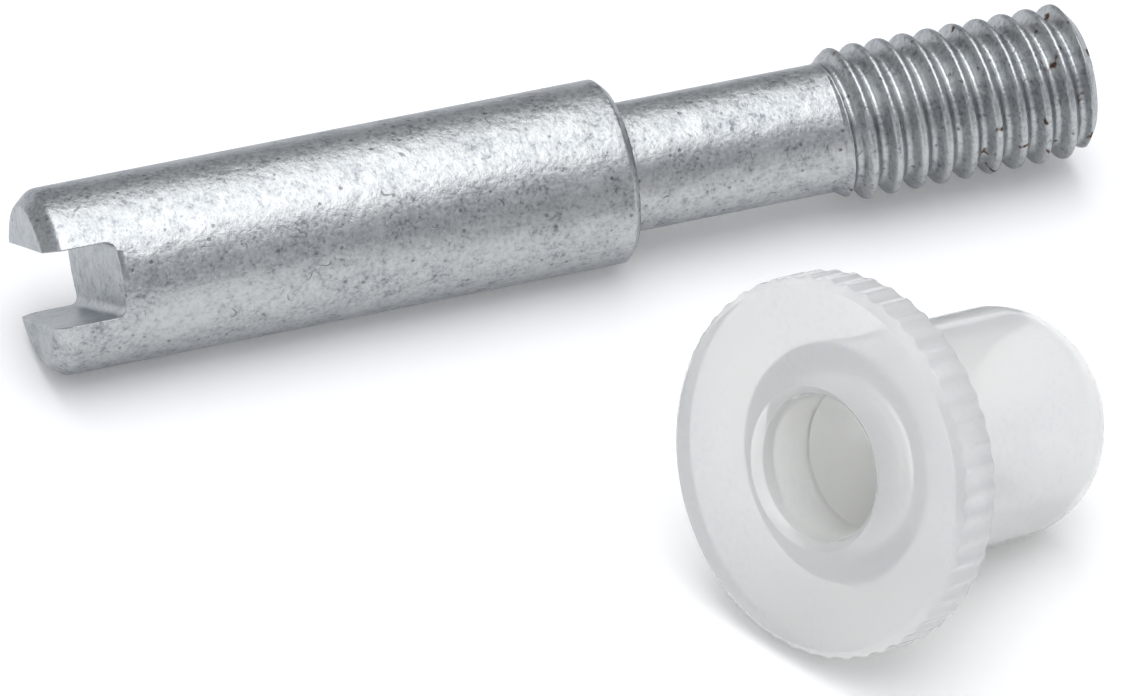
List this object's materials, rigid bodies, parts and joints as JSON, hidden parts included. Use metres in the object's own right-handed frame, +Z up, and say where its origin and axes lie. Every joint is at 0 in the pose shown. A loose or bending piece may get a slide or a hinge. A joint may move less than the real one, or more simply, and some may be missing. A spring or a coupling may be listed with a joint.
{
  "type": "captive panel screw",
  "caption": "Slotted captive panel screw with a long cylindrical head, a thinner neck and a short rolled thread, with its translucent moulded retaining sleeve lying apart beside it.",
  "frame": {"origin": "on the bench, under the middle of the pair's bounding box", "axes": "+X along the screw's axis from its slotted end to its threaded end, +Z up, the sleeve on the -Y side"},
  "size_m": [0.0206, 0.0168, 0.0067],
  "materials": {
    "zinc_plated_steel": "dull blue-grey zinc plating, mottled",
    "natural_plastic": "translucent natural moulding, satin"
  },
  "bodies": {
    "root": {"slotted_screw": "zinc_plated_steel", "retaining_sleeve": "natural_plastic"}
  },
  "joints": []
}
